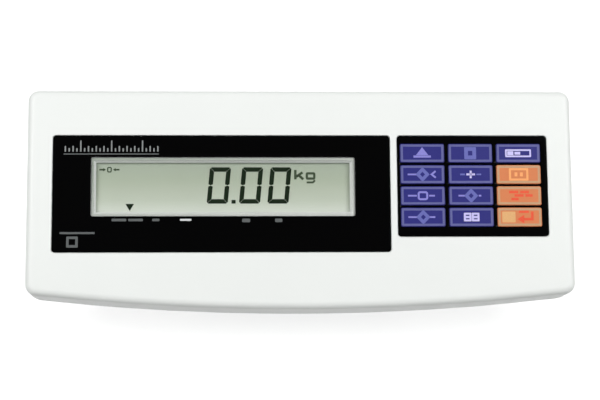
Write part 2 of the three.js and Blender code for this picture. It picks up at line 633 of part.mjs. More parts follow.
function buildHead() {
  const head = new THREE.Group();
  head.position.set(0, FACE_CENTRE.y, FACE_CENTRE.z);
  head.rotation.x = THREE.MathUtils.degToRad(FACE_LEAN);
  piece(head, 'front_cover', frontCover(), ABS_WHITE);
  piece(head, 'rear_cover', rearCover(), ABS_WHITE);
  piece(head, 'battery_door', batteryDoor(), ABS_WHITE);
  piece(head, 'display_panel', displayPanel(), BLACK_GLOSS);
  piece(head, 'display_lens', displayLens(), CLEAR);
  piece(head, 'lcd_gasket', lcdGasket(), BLACK_RUBBER);
  piece(head, 'lcd_glass', lcdGlass(), LCD_GREEN);
  piece(head, 'lcd_frame', lcdFrame(), BLACK_PLASTIC);
  piece(head, 'lcd_backlight', lcdBacklight(), DIFFUSER);
  piece(head, 'display_board', displayBoard(), BOARD_GREEN);
  piece(head, 'keypad_panel', keypadPanel(), BLACK_GLOSS);
  for (const spot of keyCentres()) {
    const orange = spot.column === 2 && spot.row > 0;
    piece(head, spot.name, key(spot), orange ? KEY_ORANGE : KEY_BLUE);
  }
  piece(head, 'key_mat', keyMat(), GREY_SILICONE);
  piece(head, 'key_switches', keySwitches(), STEEL);
  piece(head, 'keypad_board', keypadBoard(), BOARD_GREEN);
  piece(head, 'keypad_ribbon', keypadRibbon(), CABLE_GREY);
  piece(head, 'display_ribbon', displayRibbon(), CABLE_GREY);
  piece(head, 'main_board', mainBoard(), BOARD_GREEN);
  piece(head, 'analog_shield', analogShield(), STEEL);
  piece(head, 'processor', processor(), BLACK_PLASTIC);
  piece(head, 'buzzer', buzzer(), BLACK_PLASTIC);
  piece(head, 'battery', battery(), BATTERY_GREY);
  piece(head, 'battery_pad', batteryPad(), BLACK_RUBBER);
  piece(head, 'battery_lead_red', batteryLead(TABS.x[0]), LEAD_RED);
  piece(head, 'battery_lead_black', batteryLead(TABS.x[1]), BLACK_RUBBER);
  piece(head, 'power_switch', powerSwitch(), BLACK_PLASTIC);
  const rocker = piece(head, 'power_rocker', powerRocker(), BLACK_PLASTIC);
  rocker.position.set(SWITCH.x, SWITCH.y, SWITCH.axis);
  rocker.rotation.x = THREE.MathUtils.degToRad(-SWITCH.throw);
  piece(head, 'power_inlet', powerInlet(), BLACK_PLASTIC);
  piece(head, 'serial_port', serialPort(), STEEL);
  piece(head, 'load_cell_socket', cellSocket(), STEEL);
  SCREW_SPOTS.forEach((spot, i) => piece(head, `case_screw_${i + 1}`, caseScrew(spot), STEEL));
  for (const [side, name] of [[-1, 'left'], [1, 'right']]) {
    piece(head, `${name}_insert`, insert(side), BRASS);
    piece(head, `${name}_friction_disc`, frictionDisc(side), BLACK_RUBBER);
  }
  return head;
}

function buildBracket(head) {
  const bracket = new THREE.Group();
  const pivot = new THREE.Vector3(0, PIVOT.y, PIVOT.z);
  head.updateMatrixWorld(true);
  head.localToWorld(pivot);
  piece(bracket, 'tilt_bracket', tiltBracket(pivot.y, pivot.z), GREY_PAINT);
  piece(bracket, 'base_pad', basePad(), BLACK_RUBBER);
  for (const [side, name] of [[-1, 'left'], [1, 'right']]) {
    const clamp = new THREE.Group();
    clamp.position.copy(pivot);
    clamp.rotation.y = side * Math.PI / 2;
    piece(clamp, `${name}_washer`, washer(), STEEL);
    piece(clamp, `${name}_knob`, knob(), BLACK_PLASTIC);
    piece(clamp, `${name}_knob_stud`, knobStud(), STEEL);
    bracket.add(clamp);
  }
  return bracket;
}

const scaleHead = new THREE.Group();
const head = buildHead();
scaleHead.add(head, buildBracket(head));

export default scaleHead;
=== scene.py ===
"""Display and keypad head of a counting scale on its tilt bracket: looks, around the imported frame."""
import json
import math

import bmesh
import bpy
from mathutils import Matrix, Vector

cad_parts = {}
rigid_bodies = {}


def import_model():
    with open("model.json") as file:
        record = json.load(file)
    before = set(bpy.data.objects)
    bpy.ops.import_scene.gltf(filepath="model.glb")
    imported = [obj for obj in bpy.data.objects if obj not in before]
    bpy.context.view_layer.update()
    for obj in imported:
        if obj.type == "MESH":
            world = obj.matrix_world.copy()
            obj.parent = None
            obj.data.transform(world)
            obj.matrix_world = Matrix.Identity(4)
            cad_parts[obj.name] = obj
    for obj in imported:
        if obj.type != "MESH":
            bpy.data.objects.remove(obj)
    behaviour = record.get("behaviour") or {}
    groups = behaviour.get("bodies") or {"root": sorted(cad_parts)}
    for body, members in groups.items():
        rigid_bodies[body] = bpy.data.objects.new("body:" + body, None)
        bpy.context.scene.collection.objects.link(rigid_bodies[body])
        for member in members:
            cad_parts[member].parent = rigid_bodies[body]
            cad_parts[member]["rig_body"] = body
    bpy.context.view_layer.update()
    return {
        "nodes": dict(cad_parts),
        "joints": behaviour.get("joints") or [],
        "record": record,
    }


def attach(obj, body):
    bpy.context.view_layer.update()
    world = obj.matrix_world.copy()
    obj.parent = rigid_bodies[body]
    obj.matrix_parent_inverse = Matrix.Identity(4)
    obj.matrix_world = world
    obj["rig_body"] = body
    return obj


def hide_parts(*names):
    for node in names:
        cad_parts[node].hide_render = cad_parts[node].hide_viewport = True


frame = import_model()

# ------------------------------------------------------------------ the face's own frame
# Pieces on the head are made in millimetres: x across, y up the face, z out of the face.
# The origin is the middle of the front cover, on the plane of the display panel.

JOINTS = {joint["name"]: joint for joint in frame["joints"]}
ACROSS = Vector((1, 0, 0))
UP_FACE = Vector(JOINTS["battery_door_slide"]["axis"]).normalized()
OUT = -Vector(JOINTS["key_1_1_press"]["axis"]).normalized()
MM = 0.001


def reach(node, direction):
    """How far a node goes along a direction, lowest and highest, in metres."""
    along = [vertex.co.dot(direction) for vertex in frame["nodes"][node].data.vertices]
    return min(along), max(along)


FACE_MIDDLE = sum(reach("front_cover", UP_FACE)) / 2
FACE_LEVEL = reach("display_panel", OUT)[1]
TURN = Matrix((ACROSS, UP_FACE, OUT)).transposed().to_4x4()
FACE = Matrix.Translation(UP_FACE * FACE_MIDDLE + OUT * FACE_LEVEL) @ TURN @ Matrix.Scale(MM, 4)


class Span:
    """A node's extent in the face's frame."""

    def __init__(self, node):
        self.left, self.right = (value / MM for value in reach(node, ACROSS))
        self.bottom, self.top = ((value - FACE_MIDDLE) / MM for value in reach(node, UP_FACE))
        self.back, self.front = ((value - FACE_LEVEL) / MM for value in reach(node, OUT))
        self.x, self.y = (self.left + self.right) / 2, (self.bottom + self.top) / 2


# ------------------------------------------------------------------ shader nodes

def screen(red, green, blue):
    """A colour given as it shows on a screen, 0 to 255, as linear values."""
    def linear(value):
        value /= 255
        return value / 12.92 if value <= 0.04045 else ((value + 0.055) / 1.055) ** 2.4
    return (linear(red), linear(green), linear(blue), 1)


class Wire:
    """A shader socket. Sums and products of wires add Math nodes."""

    def __init__(self, shader, socket):
        self.shader = shader
        self.socket = socket

    def maths(self, operation, *terms):
        node = self.shader.node("Math", {"operation": operation}, dict(enumerate(terms)))
        return Wire(self.shader, node.outputs[0])

    def __add__(self, other):
        return self.maths("ADD", self, other)

    def __radd__(self, other):
        return self.maths("ADD", other, self)

    def __sub__(self, other):
        return self.maths("SUBTRACT", self, other)

    def __rsub__(self, other):
        return self.maths("SUBTRACT", other, self)

    def __mul__(self, other):
        return self.maths("MULTIPLY", self, other)

    def __rmul__(self, other):
        return self.maths("MULTIPLY", other, self)

    def clamp(self, low=0.0, high=1.0):
        return self.maths("MINIMUM", self.maths("MAXIMUM", self, low), high)


class Shader:
    """The nodes of one finish."""

    def __init__(self, name, **constants):
        self.material = bpy.data.materials.new(name)
        self.material.use_nodes = True
        self.tree = self.material.node_tree
        self.surface = self.tree.nodes["Principled BSDF"]
        for socket, value in constants.items():
            self.surface.inputs[socket.replace("_", " ")].default_value = value

    def node(self, kind, settings=None, sockets=None):
        made = self.tree.nodes.new("ShaderNode" + kind)
        for name, value in (settings or {}).items():
            if name == "stops":
                self.set_stops(made.color_ramp, value)
            else:
                setattr(made, name, value)
        for name, value in (sockets or {}).items():
            self.feed(made.inputs[name], value)
        return made

    def feed(self, socket, value):
        if isinstance(value, Wire):
            self.tree.links.new(value.socket, socket)
        else:
            socket.default_value = value

    def set(self, name, value):
        self.feed(self.surface.inputs[name], value)

    @staticmethod
    def set_stops(ramp, stops):
        while len(ramp.elements) < len(stops):
            ramp.elements.new(1)
        for element, (position, colour) in zip(ramp.elements, stops):
            element.position = position
            element.color = colour

    def place(self):
        return Wire(self, self.node("TexCoord").outputs["Object"])

    def noise(self, size, detail=2.0, stretch=None):
        """Noise whose blotches are about size metres across, from 0 to 1."""
        where = self.place()
        if stretch:
            mapped = self.node("Mapping", sockets={"Vector": where, "Scale": stretch})
            where = Wire(self, mapped.outputs[0])
        made = self.node("TexNoise", sockets={"Vector": where, "Scale": 1 / size, "Detail": detail})
        return Wire(self, made.outputs[0])

    def along(self, direction, low, high):
        """From 0 at low to 1 at high, in metres along a direction of the model."""
        dot = self.node("VectorMath", {"operation": "DOT_PRODUCT"}, {0: self.place(), 1: direction})
        return ((Wire(self, dot.outputs["Value"]) - low) * (1 / (high - low))).clamp()

    def mix(self, factor, first, second):
        made = self.node("Mix", {"data_type": "RGBA"}, {0: factor, 6: first, 7: second})
        return Wire(self, made.outputs[2])

    def ramp(self, factor, stops):
        made = self.node("ValToRGB", {"stops": stops}, {0: factor})
        return Wire(self, made.outputs[0])

    def bump(self, height, depth, strength=1.0):
        made = self.node("Bump", sockets={"Height": height, "Distance": depth, "Strength": strength})
        self.set("Normal", Wire(self, made.outputs[0]))


def tint(colour, factor):
    return tuple(min(channel * factor, 1) for channel in colour[:3]) + (1,)


# ------------------------------------------------------------------ finishes

def moulded_plastic(name, colour, roughness, grain=0.00035, depth=0.000012, **constants):
    """Injection moulded plastic with a fine spark-eroded grain and a faint cloudiness."""
    shader = Shader(name, **constants)
    cloud = shader.noise(0.06, 3)
    shader.set("Base Color", shader.mix(cloud, tint(colour, 0.975), tint(colour, 1.01)))
    speckle = shader.noise(grain, 2)
    shader.set("Roughness", roughness + 0.1 * (shader.noise(0.02, 4) - 0.5) + 0.06 * (speckle - 0.5))
    shader.bump(speckle, depth)
    return shader.material


def gloss_overlay(name, colour, roughness):
    """Printed polyester overlay: deep colour, even gloss, a trace of dust and handling."""
    shader = Shader(name, Specular_IOR_Level=0.1)
    dust = shader.noise(0.0011, 5)
    shader.set("Base Color", shader.mix(dust, tint(colour, 0.8), tint(colour, 1.5)))
    shader.set("Roughness", roughness + 0.06 * (shader.noise(0.018, 4) - 0.4))
    shader.bump(shader.noise(0.0004, 2), 0.000002)
    return shader.material


def clear_plastic(name):
    shader = Shader(name, IOR=1.45, Specular_IOR_Level=0.4)
    shader.set("Base Color", (0.03, 0.032, 0.03, 1))
    shader.set("Alpha", 0.05 + 0.02 * shader.noise(0.03, 3))
    shader.set("Roughness", 0.06 + 0.06 * shader.noise(0.01, 4))
    return shader.material


def liquid_crystal(name, cell):
    """Grey-green reflective cell with a soft metallic grain. Its colour holds painted shade: lightest at its
    lower edge and darker towards the top, then a painted lighter strip at the top edge against the shadow of
    the case.
    """
    shader = Shader(name, Specular_IOR_Level=0.2)
    low, high = reach(cell, UP_FACE)
    height = shader.along(UP_FACE, low, high)
    # painted shade from the lower edge upwards; the last stop is a painted light strip at the top edge
    painted_shade = shader.ramp(height, [
        (0.12, screen(234, 240, 230)), (0.32, screen(208, 218, 200)),
        (0.6, screen(186, 198, 176)), (0.84, screen(176, 188, 170)),
        (0.93, screen(214, 224, 208)),
    ])
    grain = shader.noise(0.0005, 2)
    shader.set("Base Color", shader.mix(0.12 * grain, painted_shade, screen(232, 238, 226)))
    shader.set("Roughness", 0.42 + 0.1 * grain)
    shader.bump(grain, 0.000006)
    return shader.material


def ink(name, colour, roughness=0.45, gloss=0.3):
    """Screen printed ink with a slightly uneven film."""
    shader = Shader(name, Specular_IOR_Level=gloss)
    film = shader.noise(0.0006, 4)
    shader.set("Base Color", shader.mix(film, tint(colour, 0.85), tint(colour, 1.12)))
    shader.set("Roughness", roughness + 0.12 * (film - 0.5))
    shader.bump(film, 0.000003)
    return shader.material


def powder_coat(name, colour):
    shader = Shader(name, Specular_IOR_Level=0.45)
    peel = shader.noise(0.0009, 3)
    shader.set("Base Color", shader.mix(shader.noise(0.03, 4), tint(colour, 0.93), tint(colour, 1.05)))
    shader.set("Roughness", 0.42 + 0.16 * peel)
    shader.bump(peel, 0.00005)
    return shader.material


def plated_steel(name, colour, roughness=0.28):
    shader = Shader(name)
    brush = shader.noise(0.0012, 4, stretch=(1, 14, 1))
    shader.set("Base Color", shader.mix(brush, tint(colour, 0.86), tint(colour, 1.06)))
    shader.set("Metallic", 1.0)
    shader.set("Roughness", roughness + 0.2 * (brush - 0.5))
    shader.bump(brush, 0.000008)
    return shader.material


def rubber(name, colour):
    shader = Shader(name, Specular_IOR_Level=0.3)
    bloom = shader.noise(0.012, 5)
    shader.set("Base Color", shader.mix(bloom, colour, tint(colour, 1.7)))
    shader.set("Roughness", 0.78 + 0.14 * bloom)
    shader.bump(shader.noise(0.0006, 3), 0.00004)
    return shader.material


def foam_tape(name, window):
    """Pale tape with painted shade: darker towards its top and left, where the edge of the case shades it."""
    shader = Shader(name, Specular_IOR_Level=0.2)
    # painted shade: the colour darkens towards the top and the left of the window
    lowered = 1 - shader.along(UP_FACE, *reach(window, UP_FACE))
    painted_shade = 0.5 * lowered + 0.5 * shader.along(ACROSS, *reach(window, ACROSS))
    cells = shader.noise(0.0008, 3)
    base = shader.ramp(painted_shade, [(0.1, screen(176, 186, 174)), (0.9, screen(228, 232, 226))])
    shader.set("Base Color", shader.mix(0.2 * cells, base, screen(214, 218, 212)))
    shader.set("Roughness", 0.75 + 0.15 * cells)
    shader.bump(cells, 0.00002)
    return shader.material


def circuit_board(name):
    shader = Shader(name, Coat_Roughness=0.2)
    tracks = shader.noise(0.0024, 1)
    mask = shader.ramp(tracks, [(0.5, screen(20, 92, 48)), (0.54, screen(32, 124, 66))])
    shader.set("Base Color", mask)
    shader.set("Roughness", 0.34 + 0.1 * tracks)
    shader.bump(tracks, 0.00002)
    return shader.material


CASE = moulded_plastic("case_white", screen(241, 244, 241), 0.46)
PANEL_BLACK = gloss_overlay("panel_black", (0.001, 0.001, 0.0011, 1), 0.1)
LENS = clear_plastic("lens_clear")
LCD = liquid_crystal("lcd_green", "lcd_glass")
KEY_BLUE = moulded_plastic("key_blue", screen(40, 40, 122), 0.4, Specular_IOR_Level=0.3)
KEY_ORANGE = moulded_plastic("key_orange", screen(218, 130, 82), 0.4, Specular_IOR_Level=0.3)
BLACK_PLASTIC = moulded_plastic("plastic_black", screen(34, 35, 37), 0.42, 0.0005, 0.00002)
BATTERY_CASE = moulded_plastic("battery_case", screen(58, 60, 66), 0.5)
DIFFUSER = moulded_plastic("diffuser_white", screen(238, 241, 234), 0.5)
CABLE_GREY = moulded_plastic("cable_grey", screen(160, 165, 172), 0.5)
LEAD_RED = moulded_plastic("lead_red", screen(178, 34, 30), 0.45)
LEAD_BLACK = moulded_plastic("lead_black", screen(24, 24, 25), 0.45)
BRACKET_PAINT = powder_coat("bracket_paint", screen(176, 180, 182))
STEEL = plated_steel("steel_bright", screen(206, 208, 212))
BRASS = plated_steel("brass", screen(206, 170, 92), 0.3)
RUBBER_BLACK = rubber("rubber_black", screen(22, 22, 23))
RUBBER_GREY = rubber("rubber_grey", screen(112, 114, 118))
TAPE = foam_tape("lens_tape", "display_lens")
LABEL_FOIL = plated_steel("label_foil", screen(196, 198, 200), 0.45)
BOARD = circuit_board("board_green")
FINISHES = {
    "case_white": CASE, "panel_black": PANEL_BLACK, "lens_clear": LENS, "lcd_green": LCD,
    "diffuser_white": DIFFUSER, "key_blue": KEY_BLUE, "key_orange": KEY_ORANGE, "board_green": BOARD,
    "rubber_black": RUBBER_BLACK, "rubber_grey": RUBBER_GREY, "steel_bright": STEEL, "brass": BRASS,
    "bracket_paint": BRACKET_PAINT, "plastic_black": BLACK_PLASTIC, "battery_case": BATTERY_CASE,
    "cable_grey": CABLE_GREY, "lead_red": LEAD_RED, "lead_black": LEAD_BLACK,
}
INK_DARK = ink("lcd_segment", screen(26, 40, 24), 0.6, 0.05)
INK_MUTED = ink("lcd_segment_muted", screen(74, 88, 68), 0.6, 0.1)
INK_LAVENDER = ink("ink_lavender", screen(140, 136, 214))
INK_PALE = ink("ink_pale_lavender", screen(206, 200, 250))
INK_RIM = ink("ink_key_rim", screen(98, 100, 156))
INK_DIM = ink("ink_dim_lavender", screen(104, 108, 182))
INK_SAND = ink("ink_sand", screen(200, 160, 122))
INK_RED = ink("ink_red", screen(236, 88, 56))
INK_YELLOW = ink("ink_yellow", screen(228, 176, 118))
INK_AMBER = ink("ink_amber", screen(255, 172, 108))
INK_GREY = ink("ink_grey", screen(92, 96, 96))
INK_SILVER = ink("ink_silver", screen(138, 142, 142))
INK_WHITE = ink("ink_white", screen(214, 218, 218))

# ------------------------------------------------------------------ mesh building


def arc(x, y, radius, start, end, steps):
    """Points on an arc, in degrees, ends included."""
    angles = [math.radians(start + (end - start) * step / steps) for step in range(steps + 1)]
    return [(x + radius * math.cos(angle), y + radius * math.sin(angle)) for angle in angles]


def rectangle(left, right, bottom, top, corner, steps=6):
    """An outline that gives its points for an inset; a negative inset makes it larger."""
    def outline(inset=0.0):
        radius = max(corner - inset, 0.02)
        low_x, high_x = left + inset + radius, right - inset - radius
        low_y, high_y = bottom + inset + radius, top - inset - radius
        return [
            *arc(high_x, high_y, radius, 0, 90, steps), *arc(low_x, high_y, radius, 90, 180, steps),
            *arc(low_x, low_y, radius, 180, 270, steps), *arc(high_x, low_y, radius, 270, 360, steps),
        ]
    return outline


def around(x, y, half_x, half_y, corner, steps=6):
    return rectangle(x - half_x, x + half_x, y - half_y, y + half_y, corner, steps)


def circle(x, y, radius, steps=48):
    return lambda inset=0.0: arc(x, y, radius - inset, 0, 360 - 360 / steps, steps - 1)


def edge_round(level, radius, steps=4, outwards=1):
    """Levels of a rounded edge: it ends on the plane at level, inset by its radius."""
    angles = [math.pi / 2 * step / steps for step in range(steps + 1)]
    return [(level - outwards * radius * (1 - math.sin(angle)), radius * (1 - math.cos(angle)))
            for angle in angles]


class Build:
    """A closed mesh made of loops of points, strips between them and flat fills."""

    def __init__(self):
        self.mesh = bmesh.new()

    def loop(self, points, level):
        return [self.mesh.verts.new((x, y, level)) for x, y in points]

    def levels(self, outline, levels):
        """Loops of one outline at several (level, inset), joined by strips. Gives the loops."""
        loops = [self.loop(outline(inset), level) for level, inset in levels]
        for lower, upper in zip(loops, loops[1:]):
            self.strip(lower, upper)
        return loops

    def strip(self, lower, upper):
        count = len(lower)
        for i in range(count):
            after = (i + 1) % count
            self.mesh.faces.new((lower[i], lower[after], upper[after], upper[i]))

    def fill(self, *loops):
        """A flat region inside the first loop and outside the others."""
        if len(loops) == 1:
            self.mesh.faces.new(loops[0])
            return
        edges = []
        for loop in loops:
            for i, vertex in enumerate(loop):
                ends = (vertex, loop[(i + 1) % len(loop)])
                edges.append(self.mesh.edges.get(ends) or self.mesh.edges.new(ends))
        bmesh.ops.triangle_fill(self.mesh, use_beauty=True, use_dissolve=False, edges=edges)

    def plate(self, outline, back, front, edge, holes=(), steps=3):
        """A flat plate with rounded edges on its front side, and holes through it."""
        rounded = edge_round(front, edge, steps, 1 if front > back else -1)
        sides = self.levels(outline, [(back, 0), *rounded])
        opened = [(back, 0)] + [(level, -inset) for level, inset in rounded]
        walls = [self.levels(hole, opened) for hole in holes]
        self.fill(sides[0], *[wall[0] for wall in walls])
        self.fill(sides[-1], *[wall[-1] for wall in walls])

    def prism(self, points, back, front):
        lower = self.loop(points, back)
        upper = self.loop(points, front)
        self.strip(lower, upper)
        self.fill(lower)
        self.fill(upper)

    def band(self, outer, inner, back, front):
        """A flat ring between two outlines of as many points."""
        corners = [(outer, back), (outer, front), (inner, front), (inner, back)]
        loops = [self.loop(points, level) for points, level in corners]
        for one, two in zip(loops, loops[1:] + loops[:1]):
            self.strip(one, two)

    def finish(self, name, finish, body, place=FACE, replaces=(), slot=None, smooth=32):
        """Turns the mesh into a piece that rides on a body."""
        bmesh.ops.recalc_face_normals(self.mesh, faces=self.mesh.faces)
        data = bpy.data.meshes.new(name)
        self.mesh.to_mesh(data)
        self.mesh.free()
        data.transform(place)
        return piece(name, data, finish, body, replaces, slot, smooth)


def piece(name, data, finish, body, replaces=(), slot=None, smooth=32):
    made = bpy.data.objects.new(name, data)
    bpy.context.scene.collection.objects.link(made)
    data.materials.clear()
    data.materials.append(finish)
    data.shade_smooth()
    data.set_sharp_from_angle(angle=math.radians(smooth))
    weigh = made.modifiers.new("flat_faces", "WEIGHTED_NORMAL")
    weigh.keep_sharp = True
    weigh.weight = 100
    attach(made, body)
    if replaces:
        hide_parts(*replaces)
    slot or next((key for key, value in FINISHES.items() if value == finish), "panel_black")
    return made


def refined(node, finish, width=0.3, angle=38, segments=2):
    """A node's shape with its flat faces cleaned up and its edges rounded."""
    source = frame["nodes"][node]
    mesh = bmesh.new()
    mesh.from_mesh(source.data)
    bmesh.ops.remove_doubles(mesh, verts=mesh.verts, dist=1e-6)
    bmesh.ops.dissolve_limit(mesh, angle_limit=math.radians(1.0), verts=mesh.verts, edges=mesh.edges)
    limit = math.radians(angle)
    sharp = [edge for edge in mesh.edges if edge.is_manifold and edge.calc_face_angle() > limit]
    bmesh.ops.bevel(mesh, geom=sharp, offset=width * MM, segments=segments, profile=0.5,
                    affect="EDGES", clamp_overlap=True)
    bmesh.ops.triangulate(mesh, faces=[face for face in mesh.faces if len(face.verts) > 4])
    bmesh.ops.recalc_face_normals(mesh, faces=mesh.faces)
    data = bpy.data.meshes.new(node + "_made")
    mesh.to_mesh(data)
    mesh.free()
    return piece(node + "_made", data, finish, source["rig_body"], [node])


# ------------------------------------------------------------------ front cover

SHELL = Span("front_cover")
HALF_WIDTH = SHELL.right
BOW_RADIUS = 1310
TOP_CORNER = 6
BOTTOM_CORNER = 6
FRONT_EDGE = 4
WALL = 2.5
FACE_WALL = 3
DISPLAY = Span("display_panel")
WINDOW = Span("display_lens")
KEYPAD = Span("keypad_panel")
POCKET = 1.3
CLEARANCE = 0.3
PANEL_CORNER = 1.6
WINDOW_LEDGE = 1.3
WINDOW_SLOPE = 1.1
KEYPAD_MARGINS = (0.6, 1.5, 1.5, 1.5)
PARTING_BREAK = 0.35
POCKET_LIP = 0.2
BOSS_RADIUS, BORE_RADIUS, BORE_FLOOR = 4, 1.8, -8
BOSS_SPOTS = [(-141, 49.05), (141, 49.05), (-141, -42.95), (141, -42.95), (0, 51.05), (0, -49.95)]


def head_outline(inset=0.0):
    """Straight top and sides, bowed lower edge, round corners."""
    top_x, top_y = HALF_WIDTH - TOP_CORNER, SHELL.top - TOP_CORNER
    low_x = HALF_WIDTH - BOTTOM_CORNER
    bow_y = SHELL.bottom + BOW_RADIUS
    low_y = bow_y - math.sqrt((BOW_RADIUS - BOTTOM_CORNER) ** 2 - low_x ** 2)
    bow = math.degrees(math.atan2(low_x, bow_y - low_y))
    upper, lower = TOP_CORNER - inset, BOTTOM_CORNER - inset
    return [
        *arc(top_x, top_y, upper, 0, 90, 14), *arc(-top_x, top_y, upper, 90, 180, 14),
        *arc(-low_x, low_y, lower, 180, 270 - bow, 14),
        *arc(0, bow_y, BOW_RADIUS - inset, 270 - bow, 270 + bow, 48)[1:-1],
        *arc(low_x, low_y, lower, 270 + bow, 360, 14),
    ]


def span_outline(span, corner, grow=0.0):
    return rectangle(span.left - grow, span.right + grow, span.bottom - grow, span.top + grow, corner + grow)


def shell_sides(build):
    """The cover's outer and inner sides. Gives the loops where its face begins."""
    parting = SHELL.back
    outside = build.levels(head_outline, [
        (parting, PARTING_BREAK), (parting + PARTING_BREAK, 0), (-FRONT_EDGE, 0),
        *edge_round(0, FRONT_EDGE, 10)[1:],
    ])
    inside = build.levels(head_outline, [(parting, WALL), (-FACE_WALL - 1, WALL), (-FACE_WALL, WALL + 1)])
    build.strip(outside[0], inside[0])
    return outside[-1], inside[-1]


def pocket(build, span, hole, slope):
    """A shallow pocket for a panel, with a hole through its floor. Gives its front and back loops."""
    rim = span_outline(span, PANEL_CORNER, CLEARANCE)
    walls = build.levels(rim, [(0, -POCKET_LIP), (-POCKET_LIP, 0), (-POCKET, 0)])
    steps = [(-POCKET, -POCKET_LIP), (-POCKET - POCKET_LIP, 0), (-FACE_WALL, slope)]
    through = build.levels(hole, steps)
    build.fill(walls[-1], through[0])
    return walls[0], through[-1]


def screw_bosses(build):
    parting = SHELL.back
    feet = []
    for x, y in BOSS_SPOTS:
        sides = [(-FACE_WALL, 0), (parting + 0.3, 0), (parting, 0.3)]
        boss = build.levels(circle(x, y, BOSS_RADIUS, 24), sides)
        bore = build.levels(circle(x, y, BORE_RADIUS, 24), [(parting, 0), (BORE_FLOOR, 0)])
        build.strip(boss[-1], bore[0])
        build.fill(bore[-1])
        feet.append(boss[0])
    return feet


def front_cover():
    build = Build()
    face_front, face_back = shell_sides(build)
    window_hole = span_outline(WINDOW, 0.8, -WINDOW_LEDGE)
    left, right, bottom, top = KEYPAD_MARGINS
    keypad_hole = rectangle(
        KEYPAD.left + left, KEYPAD.right - right, KEYPAD.bottom + bottom, KEYPAD.top - top, 1)
    display_rim, display_back = pocket(build, DISPLAY, window_hole, WINDOW_SLOPE)
    keypad_rim, keypad_back = pocket(build, KEYPAD, keypad_hole, 0)
    build.fill(face_front, display_rim, keypad_rim)
    build.fill(face_back, display_back, keypad_back, *screw_bosses(build))
    return build.finish("front_cover_shell", CASE, "head", replaces=["front_cover"])


# ------------------------------------------------------------------ display

def display_overlay():
    build = Build()
    window = span_outline(WINDOW, 0.8, CLEARANCE)
    build.plate(span_outline(DISPLAY, PANEL_CORNER), DISPLAY.back, 0, 0.12, [window])
    return build.finish("display_overlay", PANEL_BLACK, "head", replaces=["display_panel"])


def lens_tape():
    """The ring of grey tape that holds the window on its ledge."""
    build = Build()
    outer = span_outline(WINDOW, 0.5)
    inner = span_outline(WINDOW, 0.8, -WINDOW_LEDGE)
    build.band(outer(), inner(), WINDOW.back - 0.25, WINDOW.back - 0.02)
    return build.finish("lens_tape", TAPE, "head", slot="rubber_grey")


def display_window():
    build = Build()
    build.plate(span_outline(WINDOW, 0.5), WINDOW.back, WINDOW.front, 0.15)
    return build.finish("display_window", LENS, "head", replaces=["display_lens"])


CELL = Span("lcd_glass")
DIGIT_TOP, DIGIT_BOTTOM = 17.95, -2.3
DIGIT_LEFTS = (-52.0, -34.3, -18.7)
DIGIT_WIDTH = 11.6
SEGMENT = 2.5
SLANT = math.tan(math.radians(5.3))
GAP = 0.07
CORNER_CUT = 0.9
NOTCH = 0.6
PRINT = 0.03
UNIT_LEFT, UNIT_BASE = -3.2, 11.2
ZERO_X, ZERO_Y = -105.2, 16.6


def lcd_cell():
    build = Build()
    build.plate(span_outline(CELL, 0.5), CELL.back, CELL.front, 0.2)
    return build.finish("lcd_cell", LCD, "head", replaces=["lcd_glass"])


def segments_of_zero(width, height, thick):
    """The six bars of a 0, mitred at its corners, in an upright box from (0, 0)."""
    middle = height / 2
    cut = CORNER_CUT
    across = [
        (cut + GAP, height), (width - cut - GAP, height),
        (width - cut / 2 - GAP, height - cut / 2), (width - thick - GAP, height - thick),
        (thick + GAP, height - thick), (cut / 2 + GAP, height - cut / 2),
    ]
    side = [
        (0, height - cut - GAP), (cut / 2, height - cut / 2 - GAP), (thick, height - thick - GAP),
        (thick, middle + NOTCH), (thick / 2, middle + GAP), (0, middle + NOTCH),
    ]

    def flipped(points):
        return [(x, height - y) for x, y in points]

    def mirrored(points):
        return [(width - x, y) for x, y in points]

    upper = [across, side, mirrored(side)]
    return upper + [flipped(points) for points in upper]


def lcd_reading():
    """Three slanted digits and the decimal point."""
    build = Build()
    height = DIGIT_TOP - DIGIT_BOTTOM
    for left in DIGIT_LEFTS:
        for bar in segments_of_zero(DIGIT_WIDTH, height, SEGMENT):
            points = [(left + x + y * SLANT, DIGIT_BOTTOM + y) for x, y in bar]
            build.prism(points, CELL.front - PRINT, CELL.front + PRINT)
    point = around(-37.2, DIGIT_BOTTOM + 1.05, 1.15, 1.05, 0.3)
    build.prism(point(), CELL.front - PRINT, CELL.front + PRINT)
    return build.finish("lcd_reading", INK_DARK, "head", slot="lcd_green")


def stroke(points, width):
    """The outline of a line of even width through some points."""
    half = width / 2
    left, right = [], []
    for i, (x, y) in enumerate(points):
        before = points[max(i - 1, 0)]
        after = points[min(i + 1, len(points) - 1)]
        into = Vector((x - before[0], y - before[1]))
        out = Vector((after[0] - x, after[1] - y))
        into = (into if into.length else out).normalized()
        out = (out if out.length else into).normalized()
        side = (into + out).normalized().orthogonal()
        reach_out = half / max(side.dot(into.orthogonal()), 0.35)
        left.append((x + side.x * reach_out, y + side.y * reach_out))
        right.append((x - side.x * reach_out, y - side.y * reach_out))
    return left + right[::-1]


MARK_LEVELS = (CELL.front - PRINT, CELL.front + PRINT)


def unit_sign():
    build = Build()
    left, base = UNIT_LEFT, UNIT_BASE
    for line in ([(0, 0), (0, 5.3)], [(0.5, 1.5), (4.0, 3.9)], [(1.6, 2.5), (4.4, 0)]):
        build.prism(stroke([(left + x, base + y) for x, y in line], 1.4), *MARK_LEVELS)
    bowl = around(left + 8.4, base + 1.9, 2.7, 2.1, 1.1)
    build.band(bowl(), bowl(1.3), *MARK_LEVELS)
    tail = [(10.5, -0.3), (10.5, -0.9), (9.6, -1.7), (6.2, -1.7)]
    build.prism(stroke([(left + x, base + y) for x, y in tail], 1.1), *MARK_LEVELS)
    return build.finish("lcd_unit", INK_MUTED, "head", slot="lcd_green")


